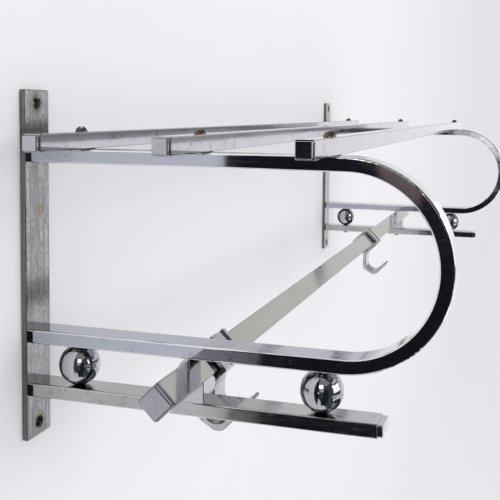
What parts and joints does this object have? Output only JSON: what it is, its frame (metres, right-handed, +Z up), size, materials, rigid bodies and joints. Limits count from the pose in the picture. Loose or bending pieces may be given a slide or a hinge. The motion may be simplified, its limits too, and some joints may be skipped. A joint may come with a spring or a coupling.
{
  "type": "wall coat rack",
  "caption": "Wall coat and hat rack: looped brackets carry a slatted shelf of square tubes and a diamond-set rail with sliding hooks.",
  "frame": {"origin": "centre of the wall screw holes, on the wall face of the plates", "axes": "+X along the wall and the rails, +Y into the wall, +Z up; the arms project towards -Y"},
  "size_m": [1.022, 0.2994, 0.25],
  "materials": {
    "plate": "worn, scratched, tarnished plating",
    "bracket": "polished, slightly aged",
    "saddle": "polished, slightly aged",
    "hat_rail": "polished, slightly aged",
    "hook_rail": "polished, fine scratches from sliding hooks",
    "plug": "polished",
    "ball": "mirror polished",
    "screws": "browned, light rust",
    "hook": "polished casting"
  },
  "bodies": {
    "rack": {"back_rail": "hat_rail", "front_rail": "hat_rail", "hook_rail": "hook_rail", "left_back_rail_plug": "plug", "left_ball_screws": "screws", "left_front_ball": "ball", "left_front_rail_plug": "plug", "left_hook_rail_plug": "plug", "left_loop_arm": "bracket", "left_lower_arm": "bracket", "left_lower_arm_plug": "plug", "left_middle_rail_plug": "plug", "left_rail_screws": "screws", "left_rear_ball": "ball", "left_saddle_block": "saddle", "left_saddle_screw": "screws", "left_wall_plate": "plate", "middle_rail": "hat_rail", "right_back_rail_plug": "plug", "right_ball_screws": "screws", "right_front_ball": "ball", "right_front_rail_plug": "plug", "right_hook_rail_plug": "plug", "right_loop_arm": "bracket", "right_lower_arm": "bracket", "right_lower_arm_plug": "plug", "right_middle_rail_plug": "plug", "right_rail_screws": "screws", "right_rear_ball": "ball", "right_saddle_block": "saddle", "right_saddle_screw": "screws", "right_wall_plate": "plate"},
    "left_outer_hook": {"left_outer_hook": "hook"},
    "left_inner_hook": {"left_inner_hook": "hook"},
    "right_hook": {"right_hook": "hook"}
  },
  "joints": [
    {"name": "left_outer_hook_slide", "type": "slide", "parent": "rack", "child": "left_outer_hook", "axis": [1, 0, 0], "range_m": [-0.0015, 0.18]},
    {"name": "left_inner_hook_slide", "type": "slide", "parent": "left_outer_hook", "child": "left_inner_hook", "axis": [1, 0, 0], "range_m": [0, 0.22]},
    {"name": "right_hook_slide", "type": "slide", "parent": "rack", "child": "right_hook", "axis": [1, 0, 0], "range_m": [-0.15, 0.2475]}
  ]
}
